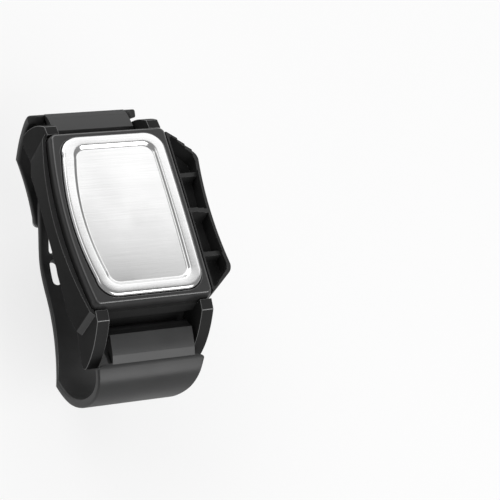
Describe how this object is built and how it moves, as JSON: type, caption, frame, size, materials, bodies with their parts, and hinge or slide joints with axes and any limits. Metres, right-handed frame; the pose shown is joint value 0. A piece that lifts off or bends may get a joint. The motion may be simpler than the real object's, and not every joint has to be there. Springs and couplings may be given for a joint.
{
  "type": "magnetic wristband",
  "caption": "Watch-style wristband with a magnetic steel tray for small screws, open tool pockets on one side and rubber straps closed by a snap clasp.",
  "frame": {"origin": "middle of the box at the sole of the closed strap", "axes": "+X along the forearm towards the pockets, +Y to the 12 o'clock strap, +Z out of the tray"},
  "size_m": [0.0434, 0.0778, 0.0459],
  "materials": {
    "gloss_black": "gloss",
    "satin_charcoal": "satin",
    "strap_rubber": "matte",
    "tray_steel": "satin polish",
    "fastener_steel": "satin",
    "magnet_nickel": "nickel plate"
  },
  "bodies": {
    "case": {"case_base": "gloss_black", "bezel_frame": "satin_charcoal", "steel_tray": "tray_steel", "yoke_plate": "fastener_steel", "tray_magnet_1": "magnet_nickel", "tray_magnet_2": "magnet_nickel", "tray_magnet_3": "magnet_nickel", "magnetizer_magnet_1": "magnet_nickel", "magnetizer_magnet_2": "magnet_nickel", "case_screw_1": "fastener_steel", "case_screw_2": "fastener_steel", "case_screw_3": "fastener_steel", "case_screw_4": "fastener_steel"},
    "upper_strap_body": {"upper_strap": "strap_rubber", "clasp_plate": "fastener_steel", "upper_bar_barrel": "fastener_steel", "upper_bar_spring": "fastener_steel"},
    "lower_strap_body": {"lower_strap": "strap_rubber", "lower_bar_barrel": "fastener_steel", "lower_bar_spring": "fastener_steel"},
    "upper_bar_tip_left_body": {"upper_bar_tip_left": "fastener_steel"},
    "upper_bar_tip_right_body": {"upper_bar_tip_right": "fastener_steel"},
    "lower_bar_tip_left_body": {"lower_bar_tip_left": "fastener_steel"},
    "lower_bar_tip_right_body": {"lower_bar_tip_right": "fastener_steel"}
  },
  "joints": [
    {"name": "upper_strap_swing", "type": "hinge", "parent": "case", "child": "upper_strap_body", "pos_m": [-0.00215, 0.03054, 0.03335], "axis": [1, 0, 0], "range_deg": [0, 50]},
    {"name": "lower_strap_swing", "type": "hinge", "parent": "case", "child": "lower_strap_body", "pos_m": [-0.00215, -0.02616, 0.03335], "axis": [1, 0, 0], "range_deg": [-7.5, 0]},
    {"name": "upper_bar_tip_left_press", "type": "slide", "parent": "upper_strap_body", "child": "upper_bar_tip_left_body", "axis": [1, 0, 0], "range_m": [0, 0.00115]},
    {"name": "upper_bar_tip_right_press", "type": "slide", "parent": "upper_strap_body", "child": "upper_bar_tip_right_body", "axis": [-1, 0, 0], "range_m": [0, 0.00115]},
    {"name": "lower_bar_tip_left_press", "type": "slide", "parent": "lower_strap_body", "child": "lower_bar_tip_left_body", "axis": [1, 0, 0], "range_m": [0, 0.00115]},
    {"name": "lower_bar_tip_right_press", "type": "slide", "parent": "lower_strap_body", "child": "lower_bar_tip_right_body", "axis": [-1, 0, 0], "range_m": [0, 0.00115]}
  ],
  "couplings": [
    {"joint": "lower_strap_swing", "follows": "upper_strap_swing", "ratio": -0.15}
  ]
}
